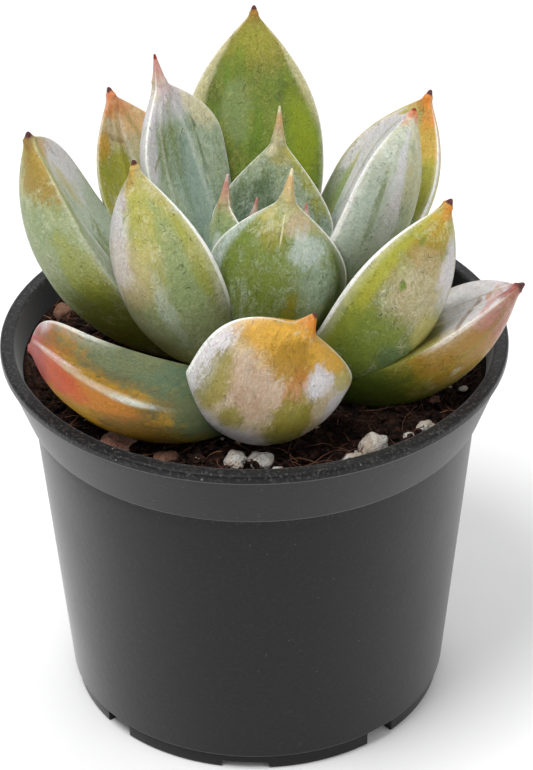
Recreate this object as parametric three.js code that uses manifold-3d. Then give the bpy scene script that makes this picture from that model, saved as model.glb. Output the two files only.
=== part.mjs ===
// A rosette succulent, thick-leaved echeveria, in a round black nursery pot.
// Millimetres, +Z up. The origin is the centre of the pot's foot, on the surface
// that it stands on, and the rosette is looked at from -Y, a little from above.

import * as THREE from "three";
import { mergeVertices } from "three/addons/utils/BufferGeometryUtils.js";
import Module from "manifold-3d";

const wasm = await Module();
wasm.setup();

// Pieces that touch keep this much room between them
const gap = 0.3;

// Pot: heights from its foot, radii of its outside
const pot = {
  height: 83.5,
  rimRadius: 52.5,
  rimInner: 49.6,
  lipHeight: 2.2,
  lipStep: 0.5,
  collarHeight: 14.3,
  collarFootRadius: 47.6,
  bodyTopRadius: 46.3,
  bodyFootRadius: 40.4,
  wall: 1.2,
  edge: 0.5,
  innerChamfer: 1.5,
  footHeight: 3.4,
  footRadius: 39.5,
  footWall: 2.6,
  floorThickness: 1.5,
  sides: 48,
};
const notches = {
  count: 8,
  firstAzimuth: -94,
  wide: { width: 10, height: 1.7 },
  narrow: { width: 7, height: 3.1 },
};
const drainHoles = { count: 8, radius: 3, ringRadius: 27, sides: 12 };

// Potting mix: how far its top lies below the rim, and how uneven that top is
const mix = { belowRim: 6, bump: 0.6, rings: 5 };

// Stem: where it stands, how far down in the mix it starts, and the blunt cone of its top
const stem = { centre: [2, -7], footZ: 62, coneZ: 89, topZ: 98, radius: 9, topRadius: 4, sides: 24 };

// Leaves. Each leaves the stem at an azimuth and a height and ends at its tip. bow is how far
// the leaf hangs below the straight line between the two, at a third and two thirds of its
// length, sway the same to its left, and twist the turn of its faces about that line. A leaf's
// own value of a blade form or shape, such as cup, comes before the one given here.
const leafSides = 12;
const leafSteps = 12;
const spikeSteps = 2;
const bladeForm = {
  widestAt: 0.52, footWidth: 0.36, thickestAt: 0.45, footThickness: 0.42, under: 0.8, cup: 0.28,
  spikeFoot: 1, spikeTip: 0.35,
};
const leafRoot = 2;
const shapes = {
  spiked: { fullness: 1.7, taper: 1, spike: 6, spikeFoot: 1.3, spikeTip: 0.2 },
  pointed: { fullness: 2.2, taper: 1, spike: 1.5 },
  full: { fullness: 3.2, taper: 0.85, spike: 1.5 },
  stout: { fullness: 3, taper: 0.7, spike: 1 },
  blunt: { fullness: 5, taper: 0.6, spike: 3.3, spikeFoot: 3.1 },
  bud: { fullness: 2, taper: 0.9, spike: 2.5 },
};
const agedLeaves = {
  leaf_front_low: {
    azimuth: -88, height: 84, tip: [12.2, -34, 109], width: 33.5, thick: 13,
    bow: [15, 12], sway: [-6.5, -8], shape: "blunt", cup: 0.08,
  },
  leaf_right_low: {
    azimuth: -25, height: 82, tip: [54.3, -12, 102], width: 28, thick: 14,
    bow: [10, 4], sway: [-3, -2], shape: "full", under: 0.68,
  },
  leaf_left_low: {
    azimuth: -115, height: 77, tip: [-45.5, -14.4, 90], width: 24.5, thick: 12,
    bow: [3, 6], sway: [28, 24], twist: 24, shape: "stout", widestAt: 0.7, footWidth: 0.25,
  },
};
const outerLeaves = {
  leaf_left: {
    azimuth: 178, height: 84, tip: [-44, -6, 134.1], width: 32, thick: 14.3,
    bow: [14, 12], twist: 7, shape: "full", widestAt: 0.6, under: 0.615, cup: 0.34,
  },
  leaf_left_front: {
    azimuth: 222, height: 86, tip: [-23, -16, 133.1], width: 24, thick: 11,
    bow: [12, 7], sway: [1, 0.5], twist: 20, shape: "pointed",
  },
  leaf_right_front: {
    azimuth: -38, height: 84, tip: [38.7, -20, 126], width: 25, thick: 11,
    bow: [15, 4], twist: -22, shape: "pointed",
  },
  leaf_back: {
    azimuth: 98, height: 86, tip: [0.6, 30, 143.6], width: 29.6, thick: 12,
    bow: [9, 5], sway: [1, 1], shape: "pointed", fullness: 2.4, under: 0.67,
  },
  leaf_left_back: {
    azimuth: 135, height: 85, tip: [-29.7, 27, 126.7], width: 26.5, thick: 8,
    bow: [10, 8], shape: "pointed", fullness: 2.7,
  },
  leaf_right_back: {
    azimuth: 48, height: 85, tip: [37, 27, 125.4], width: 25, thick: 13,
    bow: [9, 8], shape: "pointed", widestAt: 0.6, fullness: 2.4, under: 0.68,
  },
  leaf_back_left_low: {
    azimuth: 155, height: 82, tip: [-33, 18, 95], width: 25, thick: 10,
    bow: [4, 4], shape: "pointed",
  },
  leaf_back_right_low: {
    azimuth: 50, height: 82, tip: [33, 22, 95], width: 25, thick: 10,
    bow: [4, 4], shape: "pointed",
  },
  leaf_back_low: {
    azimuth: 105, height: 83, tip: [-4, 38, 102], width: 26, thick: 10,
    bow: [5, 5], shape: "pointed",
  },
};
const innerLeaves = {
  leaf_front: {
    azimuth: -97, height: 88, tip: [7.8, -15, 130.4], width: 27.5, thick: 9,
    bow: [6, 5], sway: [1.6, 0.4], shape: "spiked", fullness: 2, spikeFoot: 1.7,
  },
  leaf_inner_left: {
    azimuth: 165, height: 89, tip: [-19.3, 10, 142.8], width: 24, thick: 8, widestAt: 0.7,
    bow: [5, 4], sway: [-3, -4], twist: -20, shape: "spiked", fullness: 2, spikeFoot: 1.6,
  },
  leaf_inner_right: {
    azimuth: 10, height: 89, tip: [32.3, 1, 134.9], width: 28, thick: 12.2, cup: 0.5,
    bow: [6, 3], sway: [-1, -2], twist: -19, shape: "full", fullness: 4, under: 0.59,
  },
  leaf_inner_back: {
    azimuth: 80, height: 90, tip: [5.6, 11, 130.4], width: 25, thick: 7,
    bow: [3, 2], shape: "spiked", fullness: 1.5, spike: 7, spikeFoot: 1.5,
  },
  leaf_heart_left: {
    azimuth: 212, height: 92, tip: [-4.9, -4, 123.2], width: 18, thick: 5,
    bow: [2, 2], sway: [-1.5, -1.5], shape: "spiked",
  },
  leaf_heart_right: {
    azimuth: -5, height: 92, tip: [10.6, -5, 117], width: 12, thick: 5,
    bow: [2, 2], shape: "spiked",
  },
  leaf_heart_back: {
    azimuth: 140, height: 94, tip: [0.9, -1, 116], width: 9, thick: 4,
    bow: [1, 1], shape: "spiked",
  },
  leaf_heart_front: {
    azimuth: -80, height: 94, tip: [3.5, -10, 112], width: 12, thick: 5,
    bow: [1, 1], shape: "bud",
  },
  leaf_bud_right: {
    azimuth: 45, height: 97, tip: [4, -5.8, 110], width: 10, thick: 5.5,
    bow: [1.5, 1.5], shape: "bud",
  },
  leaf_bud_left: {
    azimuth: 225, height: 97, tip: [1, -8, 108.5], width: 10, thick: 5.5,
    bow: [1.5, 1.5], shape: "bud",
  },
};

// Stones half sunk in the mix: length, width, height, and the turn of the longest side
const stones = {
  stone_pink: { at: [-27.3, -33.1], size: [8, 6.5, 6], turn: 25 },
  stone_chip: { at: [-17.5, -38.5], size: [5.4, 3.6, 3], turn: 10 },
  stone_front_left: { at: [-3.9, -38.9], size: [5.4, 4.4, 3.6], turn: 70 },
  stone_front: { at: [1.2, -38.4], size: [5.4, 4.4, 3.6], turn: 0 },
  stone_front_small: { at: [4.5, -41.3], size: [2.6, 2.2, 2.2], turn: 0 },
  stone_right_large: { at: [23.5, -34.3], size: [6.4, 5.6, 6], turn: 60 },
  stone_right_flat: { at: [19.4, -38.8], size: [5, 3.2, 2.4], turn: 20 },
  stone_right_small: { at: [34.2, -27.6], size: [4, 3, 2.6], turn: 30 },
  stone_right_tiny: { at: [30.8, -30.6], size: [2.4, 2.2, 2], turn: 0 },
  stone_right_brown: { at: [36.5, -18.4], size: [3, 2.8, 2.4], turn: 40 },
  stone_left_back: { at: [-40.5, 17], size: [5, 4.4, 4.6], turn: 80 },
};

const radians = THREE.MathUtils.degToRad;

function solidOf(geometry) {
  const bare = geometry.clone();
  for (const name of Object.keys(bare.attributes)) {
    if (name !== "position") bare.deleteAttribute(name);
  }
  const merged = mergeVertices(bare, 1e-4);
  return new wasm.Manifold(new wasm.Mesh({
    numProp: 3,
    vertProperties: merged.attributes.position.array,
    triVerts: new Uint32Array(merged.index.array),
  }));
}

function geometryOf(solid) {
  const { vertProperties, triVerts } = solid.getMesh();
  const geometry = new THREE.BufferGeometry();
  geometry.setAttribute("position", new THREE.BufferAttribute(vertProperties, 3));
  geometry.setIndex(new THREE.BufferAttribute(triVerts, 1));
  geometry.computeVertexNormals();
  return geometry;
}

// The largest body of a solid, without crumbs that a cut has left
function mainBody(solid) {
  return solid.decompose().reduce((a, b) => (a.volume() > b.volume() ? a : b));
}

function without(solid, cuts) {
  return mainBody(cuts.reduce((whole, cut) => whole.subtract(cut), solid));
}

// A lathed solid standing along +Z, from [radius, z] pairs that start and end on the axis
function turned(profile, sides) {
  const points = profile.map(([r, z]) => new THREE.Vector2(r, z));
  return new THREE.LatheGeometry(points, sides).rotateX(Math.PI / 2);
}

// The inside of the pot's wall from the floor up, moved inwards by a clearance
function innerWall(clearance) {
  const collarZ = pot.height - pot.collarHeight;
  const floorZ = pot.footHeight + pot.floorThickness;
  const footRadius = pot.bodyFootRadius - pot.wall;
  return [
    [footRadius - pot.innerChamfer - clearance, floorZ + clearance],
    [footRadius - clearance, floorZ + pot.innerChamfer + clearance],
    [pot.bodyTopRadius - pot.wall - clearance, collarZ - pot.edge],
    [pot.collarFootRadius - pot.wall - clearance, collarZ + 2 * pot.edge],
    [pot.rimInner - clearance, pot.height - pot.edge],
  ];
}

function potSolid() {
  const collarZ = pot.height - pot.collarHeight;
  const lipZ = pot.height - pot.lipHeight;
  const shell = solidOf(turned([
    [0, pot.footHeight],
    [pot.footRadius - pot.footWall, pot.footHeight],
    [pot.footRadius - pot.footWall, 0],
    [pot.footRadius - pot.edge, 0],
    [pot.footRadius, pot.edge],
    [pot.footRadius, pot.footHeight],
    [pot.bodyFootRadius, pot.footHeight + pot.edge],
    [pot.bodyTopRadius, collarZ - pot.edge],
    [pot.collarFootRadius - pot.edge, collarZ],
    [pot.collarFootRadius, collarZ + pot.edge],
    [pot.rimRadius - pot.lipStep, lipZ],
    [pot.rimRadius, lipZ + pot.edge],
    [pot.rimRadius, pot.height - pot.edge],
    [pot.rimRadius - pot.edge, pot.height],
    [pot.rimInner + pot.edge, pot.height],
    ...innerWall(0).reverse(),
    [0, pot.footHeight + pot.floorThickness],
  ], pot.sides));
  const cuts = [];
  for (let i = 0; i < notches.count; i++) {
    const { width, height } = i % 2 ? notches.narrow : notches.wide;
    const notch = new THREE.BoxGeometry(8, width, 2 * height);
    notch.translate(pot.footRadius - pot.footWall / 2, 0, 0);
    notch.rotateZ(radians(notches.firstAzimuth + (360 / notches.count) * i));
    cuts.push(solidOf(notch));
  }
  for (let i = 0; i < drainHoles.count; i++) {
    const { radius, ringRadius, sides } = drainHoles;
    const hole = new THREE.CylinderGeometry(radius, radius, 4 * pot.footHeight, sides);
    hole.rotateX(Math.PI / 2);
    hole.translate(ringRadius, 0, 0);
    hole.rotateZ(radians((360 / drainHoles.count) * (i + 0.5)));
    cuts.push(solidOf(hole));
  }
  return without(shell, cuts);
}

const mixTop = pot.height - mix.belowRim;

function mixHeight(x, y) {
  const waves = Math.sin(x / 5.3 + 1) * Math.cos(y / 6.1 - 2) + 0.6 * Math.sin((x - 2 * y) / 7.9);
  return mixTop + mix.bump * waves;
}

function mixSolid() {
  const wallPoints = innerWall(gap);
  const [lowRadius, lowZ] = wallPoints[3];
  const [highRadius, highZ] = wallPoints[4];
  const edge = THREE.MathUtils.lerp(lowRadius, highRadius, (mixTop - lowZ) / (highZ - lowZ));
  const profile = [[0, wallPoints[0][1]], ...wallPoints.slice(0, 4)];
  for (let ring = mix.rings; ring > 0; ring--) profile.push([(edge * ring) / mix.rings, mixTop]);
  profile.push([0, mixTop]);
  const geometry = turned(profile, pot.sides);
  const place = geometry.attributes.position;
  for (let i = 0; i < place.count; i++) {
    const [x, y] = [place.getX(i), place.getY(i)];
    const onTop = place.getZ(i) > mixTop - 0.01;
    if (onTop && Math.hypot(x, y) < edge - 1) place.setZ(i, mixHeight(x, y));
  }
  return solidOf(geometry);
}

function stemRadius(z) {
  const rise = THREE.MathUtils.clamp((z - stem.coneZ) / (stem.topZ - stem.coneZ), 0, 1);
  return THREE.MathUtils.lerp(stem.radius, stem.topRadius, rise);
}

function stemSolid(extra = 0) {
  const column = turned([
    [0, stem.footZ - extra],
    [stem.radius + extra, stem.footZ - extra],
    [stem.radius + extra, stem.coneZ],
    [stem.topRadius + extra, stem.topZ + extra],
    [0, stem.topZ + extra],
  ], stem.sides);
  return solidOf(column.translate(...stem.centre, 0));
}

// Half the width and the thickness of the blade, as shares, along its length without the spike
function bladeWidth(along, { fullness, taper, widestAt, footWidth }) {
  if (along < widestAt) {
    return footWidth + (1 - footWidth) * Math.sin((Math.PI / 2) * (along / widestAt)) ** 1.1;
  }
  const past = Math.min(1, (along - widestAt) / (1 - widestAt));
  return (1 - past ** fullness) ** taper;
}

function bladeThickness(along, { thickestAt, footThickness }) {
  if (along < thickestAt) {
    return footThickness + (1 - footThickness) * Math.sin((Math.PI / 2) * (along / thickestAt));
  }
  const past = Math.min(1, (along - thickestAt) / (1 - thickestAt));
  return (1 - past ** 2.2) ** 0.9;
}

function leafLine({ azimuth, height, tip, bow, sway = [0, 0] }) {
  const outward = new THREE.Vector3(Math.cos(radians(azimuth)), Math.sin(radians(azimuth)), 0);
  const foot = new THREE.Vector3(...stem.centre, height);
  foot.addScaledVector(outward, stemRadius(height) - leafRoot);
  const end = new THREE.Vector3(...tip);
  const chord = end.clone().sub(foot).normalize();
  const left = new THREE.Vector3(-outward.y, outward.x, 0);
  left.addScaledVector(chord, -left.dot(chord)).normalize();
  const under = new THREE.Vector3().crossVectors(left, chord);
  const bends = [0, 1].map((i) => foot.clone().lerp(end, (i + 1) / 3)
    .addScaledVector(under, bow[i]).addScaledVector(left, sway[i]));
  return { curve: new THREE.CubicBezierCurve3(foot, ...bends, end), left };
}

// The larger of two sizes, with a soft step where one takes over from the other
function softMax(a, b) {
  return Math.cbrt(a ** 3 + b ** 3);
}

// A leaf is a capped cylinder drawn out along its own curve. extra grows it all round.
function leafSolid(leaf, extra = 0) {
  const { curve, left } = leafLine(leaf);
  const shape = { ...bladeForm, ...shapes[leaf.shape], ...leaf };
  const spikeShare = shape.spike / curve.getLength();
  const bladeSteps = leafSteps - spikeSteps;
  const form = new THREE.CylinderGeometry(1, 1, 1, leafSides, leafSteps);
  const place = form.attributes.position;
  for (let i = 0; i < place.count; i++) {
    const step = Math.round((place.getY(i) + 0.5) * leafSteps);
    const blade = 1 - (1 - Math.min(1, step / bladeSteps)) ** 1.25;
    const spike = Math.max(0, (step - bladeSteps) / spikeSteps);
    const along = blade * (1 - spikeShare) + spike * spikeShare;
    const centre = curve.getPoint(along);
    const forward = curve.getTangent(along);
    const side = left.clone().addScaledVector(forward, -left.dot(forward)).normalize();
    side.applyAxisAngle(forward, radians(leaf.twist ?? 0));
    const over = new THREE.Vector3().crossVectors(forward, side);
    const least = THREE.MathUtils.lerp(shape.spikeFoot, shape.spikeTip, spike);
    const halfWidth = softMax((leaf.width / 2) * bladeWidth(blade, shape), least) + extra;
    const across = place.getX(i);
    const down = place.getZ(i);
    const share = down > 0 ? shape.under : 1 - shape.under;
    const depth = softMax(leaf.thick * share * bladeThickness(blade, shape), least) + extra;
    centre.addScaledVector(side, across * halfWidth);
    centre.addScaledVector(over, shape.cup * halfWidth * across ** 2 - down * depth);
    place.setXYZ(i, centre.x, centre.y, centre.z);
  }
  return solidOf(form);
}

function stoneSolid({ at: [x, y], size, turn }, extra = 0) {
  const form = new THREE.IcosahedronGeometry(1, 1);
  const place = form.attributes.position;
  const point = new THREE.Vector3();
  for (let i = 0; i < place.count; i++) {
    point.fromBufferAttribute(place, i);
    const facet = 1 + 0.12 * Math.sin(5 * point.x + x) * Math.cos(4 * point.y - y);
    place.setXYZ(i, ...point.multiplyScalar(facet).toArray());
  }
  form.scale(...size.map((length) => length / 2 + extra));
  form.rotateZ(radians(turn));
  form.translate(x, y, mixHeight(x, y) + 0.12 * size[2]);
  return solidOf(form);
}

function finish(color, roughness) {
  return new THREE.MeshStandardMaterial({ color, roughness, metalness: 0 });
}

const potPlastic = finish(0x2e2e30, 0.6);
const pottingMix = finish(0x2b1d17, 1);
const stemSkin = finish(0x6f7a4a, 0.8);
const agedLeaf = finish(0xbf9d4d, 0.6);
const outerLeaf = finish(0xa9b37c, 0.65);
const innerLeaf = finish(0xa4b7a2, 0.7);
const stone = finish(0xb9aca0, 0.9);

const root = new THREE.Group();

function add(name, solid, material) {
  const mesh = new THREE.Mesh(geometryOf(solid), material);
  mesh.name = name;
  root.add(mesh);
}

// Where neighbours press against each other, the later one of the lists gives way
const taken = [stemSolid(gap)];
const rosette = [[agedLeaves, agedLeaf], [outerLeaves, outerLeaf], [innerLeaves, innerLeaf]];
for (const [leaves, skin] of rosette) {
  for (const [name, leaf] of Object.entries(leaves)) {
    add(name, without(leafSolid(leaf), taken), skin);
    taken.push(leafSolid(leaf, gap));
  }
}
for (const [name, form] of Object.entries(stones)) {
  add(name, stoneSolid(form), stone);
  taken.push(stoneSolid(form, gap));
}
add("stem", stemSolid(), stemSkin);
add("potting_mix", without(mixSolid(), taken), pottingMix);
add("pot", potSolid(), potPlastic);

export default root;
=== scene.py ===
import math
import random
import bmesh
import bpy
from mathutils import Matrix, Vector, noise


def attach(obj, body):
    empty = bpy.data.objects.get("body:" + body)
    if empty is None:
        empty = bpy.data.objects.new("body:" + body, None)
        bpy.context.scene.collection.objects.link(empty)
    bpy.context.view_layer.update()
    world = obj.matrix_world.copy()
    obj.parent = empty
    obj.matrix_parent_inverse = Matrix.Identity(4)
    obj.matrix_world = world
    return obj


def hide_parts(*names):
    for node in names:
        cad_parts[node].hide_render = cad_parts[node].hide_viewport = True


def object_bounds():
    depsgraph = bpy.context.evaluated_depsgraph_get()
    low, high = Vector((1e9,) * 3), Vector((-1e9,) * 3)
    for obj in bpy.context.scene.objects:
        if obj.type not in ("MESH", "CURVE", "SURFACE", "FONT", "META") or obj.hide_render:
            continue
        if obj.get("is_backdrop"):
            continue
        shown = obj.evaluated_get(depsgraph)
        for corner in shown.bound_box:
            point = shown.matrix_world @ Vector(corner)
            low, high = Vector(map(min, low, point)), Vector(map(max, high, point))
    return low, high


# A rosette succulent, a thick-leaved echeveria, in a round black nursery pot.
# Lengths are millimetres in the dictionaries and are turned into metres as each piece is finished.
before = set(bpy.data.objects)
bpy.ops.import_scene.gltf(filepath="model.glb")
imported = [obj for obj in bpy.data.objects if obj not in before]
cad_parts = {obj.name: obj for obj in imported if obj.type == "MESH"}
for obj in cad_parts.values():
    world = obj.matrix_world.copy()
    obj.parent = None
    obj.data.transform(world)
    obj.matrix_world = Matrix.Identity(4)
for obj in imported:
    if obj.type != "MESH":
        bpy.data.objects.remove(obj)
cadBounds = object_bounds()
metres = 0.001
print("frame loaded:", len(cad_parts), "nodes")


# Small helpers for meshes

def mix(a, b, share):
    return a + (b - a) * share


def clamp(value, low=0.0, high=1.0):
    return max(low, min(high, value))


def smoothStep(value, low, high):
    share = clamp((value - low) / (high - low))
    return share * share * (3 - 2 * share)


def softMax(a, b):
    return (a ** 3 + b ** 3) ** (1 / 3)


def turn(degrees, axis="Z"):
    return Matrix.Rotation(math.radians(degrees), 3, axis)


def turnedSolid(bm, outline, steps):
    verts = [bm.verts.new((radius, 0, z)) for radius, z in outline]
    edges = [bm.edges.new(pair) for pair in zip(verts, verts[1:])]
    bmesh.ops.spin(
        bm, geom=verts + edges, axis=(0, 0, 1), cent=(0, 0, 0), angle=2 * math.pi,
        steps=steps, use_merge=True)
    bmesh.ops.remove_doubles(bm, verts=bm.verts, dist=1e-4)
    bmesh.ops.recalc_face_normals(bm, faces=bm.faces)


def newObject(name, data):
    made = bpy.data.objects.new(name, data)
    bpy.context.scene.collection.objects.link(made)
    return made


def finishedMesh(name, bm):
    mesh = bpy.data.meshes.new(name)
    bm.to_mesh(mesh)
    bm.free()
    return mesh


def evaluatedMesh(piece):
    bpy.context.view_layer.update()
    evaluated = piece.evaluated_get(bpy.context.evaluated_depsgraph_get())
    return bpy.data.meshes.new_from_object(evaluated)


def newPiece(name, bm, material, replaced=None, smooth=True):
    bmesh.ops.scale(bm, vec=(metres, metres, metres), verts=bm.verts)
    mesh = finishedMesh(name, bm)
    mesh.polygons.foreach_set("use_smooth", [smooth] * len(mesh.polygons))
    mesh.materials.append(material)
    piece = newObject(name, mesh)
    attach(piece, "root")
    if replaced:
        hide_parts(replaced)
    return piece


# Small helpers for materials. A colour is given as on a paint chart, 0 to 255.

def tone(red, green, blue):
    def straight(value):
        value /= 255
        return value / 12.92 if value <= 0.04045 else ((value + 0.055) / 1.055) ** 2.4
    return (straight(red), straight(green), straight(blue), 1)


class Field:
    # A value that changes over a surface. Sums and products of fields make the nodes for them.

    def __init__(self, paint, socket):
        self.paint = paint
        self.socket = socket

    def __add__(self, other):
        return self.paint.maths("ADD", self, other)

    def __radd__(self, other):
        return self.paint.maths("ADD", other, self)

    def __sub__(self, other):
        return self.paint.maths("SUBTRACT", self, other)

    def __rsub__(self, other):
        return self.paint.maths("SUBTRACT", other, self)

    def __mul__(self, other):
        return self.paint.maths("MULTIPLY", self, other)

    def __abs__(self):
        return self.paint.maths("ABSOLUTE", self)


class Surface:
    # One material's node tree, with a short call for each kind of node that is used here

    def __init__(self, name):
        self.material = bpy.data.materials.new(name)
        self.material.use_nodes = True
        self.tree = self.material.node_tree
        self.shader = self.tree.nodes["Principled BSDF"]

    def feed(self, socket, value):
        if isinstance(value, Field):
            self.tree.links.new(value.socket, socket)
        else:
            socket.default_value = value

    def node(self, kind, inputs, output=0, **settings):
        made = self.tree.nodes.new("ShaderNode" + kind)
        for key, value in settings.items():
            setattr(made, key, value)
        for key, value in inputs.items():
            self.feed(made.inputs[key], value)
        return Field(self, made.outputs[output])

    def maths(self, operation, *values):
        return self.node("Math", dict(enumerate(values)), operation=operation)

    def highest(self, a, b):
        return self.maths("MAXIMUM", a, b)

    def attribute(self, name, output="Vector"):
        return self.node("Attribute", {}, output, attribute_name=name)

    def place(self):
        return self.node("TexCoord", {}, "Object")

    def part(self, vector, axis):
        return self.node("SeparateXYZ", {0: vector}, axis)

    def step(self, value, low, high, fromValue=0.0, toValue=1.0):
        return self.node("MapRange", {
            "Value": value, "From Min": low, "From Max": high,
            "To Min": fromValue, "To Max": toValue,
        }, interpolation_type="SMOOTHSTEP")

    def grain(self, vector, scale, detail=3.0, roughness=0.55, distortion=0.0):
        return self.node("TexNoise", {
            "Vector": vector, "Scale": scale, "Detail": detail, "Roughness": roughness,
            "Distortion": distortion,
        })

    def cells(self, vector, scale):
        return self.node("TexVoronoi", {"Vector": vector, "Scale": scale}, "Distance")

    def stretched(self, vector, scale, shift=(0, 0, 0)):
        return self.node("Mapping", {"Vector": vector, "Scale": scale, "Location": shift})

    def blend(self, share, a, b):
        return self.node("Mix", {0: share, 6: a, 7: b}, 2, data_type="RGBA")

    def ramp(self, share, stops):
        colour = self.node("ValToRGB", {0: share})
        marks = colour.socket.node.color_ramp.elements
        while len(marks) < len(stops):
            marks.new(0.5)
        for mark, (position, tint) in zip(marks, stops):
            mark.position = position
            mark.color = tint
        return colour

    def relief(self, height, distance):
        return self.node("Bump", {"Height": height, "Distance": distance * metres})

    def finish(self, colour, roughness, normal=None, **constants):
        self.feed(self.shader.inputs["Base Color"], colour)
        self.feed(self.shader.inputs["Roughness"], roughness)
        if normal is not None:
            self.feed(self.shader.inputs["Normal"], normal)
        for key, value in constants.items():
            self.shader.inputs[key.replace("_", " ")].default_value = value
        return self.material


# Leaves: the same curves and sizes as the solids. bow is how far a leaf hangs below the
# straight line from its foot to its tip, sway how far it goes to its left, at a third and two
# thirds of its length, and twist turns its faces about that line. A fold has its face, where it
# lies across near the tip and near the foot, its height, below 0 for a groove, and its width.
stem = {
    "centre": (2, -7), "footZ": 62, "coneZ": 89, "topZ": 98, "radius": 9, "topRadius": 4,
    "steps": 64, "rows": 48, "scarRings": 7, "scarDepth": 0.35, "skinGap": 0.1,
}
leafForm = {
    "segments": 112, "rings": 120, "curveSteps": 60, "bladeRows": 0.86, "root": 2,
    "footCap": 0.02, "bladeEase": 1.25, "spikeEase": 1.5, "spikeThinning": 0.7, "crisp": 1.35,
    "wave": 0.22, "waveGrain": (0.16, 0.09, 0.16),
    "wrinkle": 0.07, "wrinkleGrain": (0.9, 0.09, 0.3),
    "crease": 0.3, "creaseWidth": 1.1, "keel": 0.25, "keelWidth": 1.6, "creaseRise": (0.35, 0.8),
    "foldBend": (0.35, 0.6), "foldRise": (0.25, 0.6), "foldEnd": (1, 0.93),
}
bladeForm = {
    "widestAt": 0.52, "footWidth": 0.36, "footEase": 1.1, "thickestAt": 0.45,
    "footThickness": 0.42, "thickFullness": 2.2, "thickTaper": 0.9, "under": 0.8, "cup": 0.28,
    "spikeFoot": 1, "spikeTip": 0.35, "sway": (0, 0), "twist": 0, "folds": (),
}
leafShapes = {
    "spiked": {"fullness": 1.7, "taper": 1, "spike": 6, "spikeFoot": 1.3, "spikeTip": 0.2},
    "pointed": {"fullness": 2.2, "taper": 1, "spike": 1.5},
    "full": {"fullness": 3.2, "taper": 0.85, "spike": 1.5},
    "stout": {"fullness": 3, "taper": 0.7, "spike": 1},
    "blunt": {"fullness": 5, "taper": 0.6, "spike": 3.3, "spikeFoot": 3.1},
    "bud": {"fullness": 2, "taper": 0.9, "spike": 2.5},
}
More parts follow.
